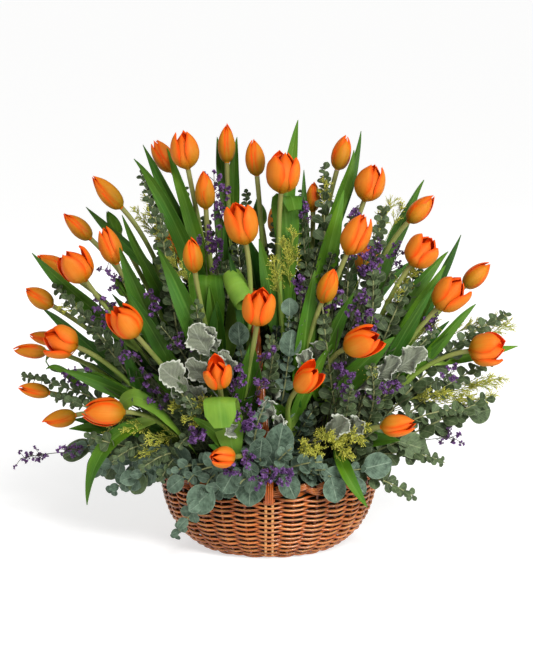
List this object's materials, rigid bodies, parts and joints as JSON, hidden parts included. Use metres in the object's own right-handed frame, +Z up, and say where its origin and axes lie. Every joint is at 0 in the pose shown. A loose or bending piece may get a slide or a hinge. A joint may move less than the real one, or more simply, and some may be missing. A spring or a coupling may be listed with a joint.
{
  "type": "flower basket arrangement",
  "caption": "Woven willow basket with a hoop handle, filled with orange tulips, eucalyptus, statice, solidago and dusty miller standing in wet foam.",
  "frame": {"origin": "middle of the basket's flat base, on the surface that it stands on", "axes": "+Z up, +X to the right along the basket's long axis, the front of the bouquet faces -Y, the handle crosses the short axis"},
  "size_m": [0.7115, 0.3705, 0.5841],
  "materials": {
    "willow": "woven willow, stained orange brown and varnished",
    "tray": "thin dark waterproof tray",
    "foam": "wet floral foam, fine open cells",
    "tulip_bloom": "orange petals, amber towards the base, satin sheen",
    "tulip_bud": "amber closed petals with orange edges and a green base",
    "tulip_green": "fresh green stems and leaves with fine parallel veins",
    "eucalyptus": "matt blue grey green leaves with a waxy bloom",
    "silver_dollar": "matt silver green round leaves with pale veins",
    "statice": "papery violet florets",
    "solidago": "small yellow green buds",
    "dusty_miller": "felted silver grey lobed leaves with white edges"
  },
  "bodies": {
    "root": {"basket_base": "willow", "basket_wall": "willow", "basket_border": "willow", "basket_handle": "willow", "water_tray": "tray", "floral_foam": "foam", "eucalyptus_left": "eucalyptus", "eucalyptus_right": "eucalyptus", "eucalyptus_back": "eucalyptus", "silver": "silver_dollar", "statice_left": "statice", "statice_right": "statice", "solidago": "solidago", "dusty": "dusty_miller", "tulip_01": "tulip_bloom", "tulip_02": "tulip_bud", "tulip_03": "tulip_bud", "tulip_04": "tulip_bloom", "tulip_05": "tulip_bud", "tulip_06": "tulip_bloom", "tulip_07": "tulip_bud", "tulip_08": "tulip_bloom", "tulip_09": "tulip_bud", "tulip_10": "tulip_bloom", "tulip_11": "tulip_bloom", "tulip_12": "tulip_bloom", "tulip_13": "tulip_bloom", "tulip_14": "tulip_bloom", "tulip_15": "tulip_bud", "tulip_16": "tulip_bloom", "tulip_17": "tulip_bud", "tulip_18": "tulip_bloom", "tulip_19": "tulip_bloom", "tulip_20": "tulip_bloom", "tulip_21": "tulip_bud", "tulip_22": "tulip_bud", "tulip_23": "tulip_bloom", "tulip_24": "tulip_bud", "tulip_25": "tulip_bud", "tulip_26": "tulip_bloom", "tulip_28": "tulip_bloom", "tulip_29": "tulip_bud", "tulip_30": "tulip_bloom", "tulip_31": "tulip_bloom", "tulip_32": "tulip_bud", "tulip_33": "tulip_bud", "tulip_34": "tulip_bud", "tulip_35": "tulip_bud", "tulip_36": "tulip_bloom", "tulip_39": "tulip_bloom", "tulip_40": "tulip_bud", "tulip_41": "tulip_bloom", "tulip_42": "tulip_bloom", "tulip_43": "tulip_bloom", "tulip_stems_left_low": "tulip_green", "tulip_stems_left_high": "tulip_green", "tulip_stems_mid_left": "tulip_green", "tulip_stems_mid_right": "tulip_green", "tulip_stems_right": "tulip_green", "tulip_stems_back": "tulip_green"}
  },
  "joints": []
}
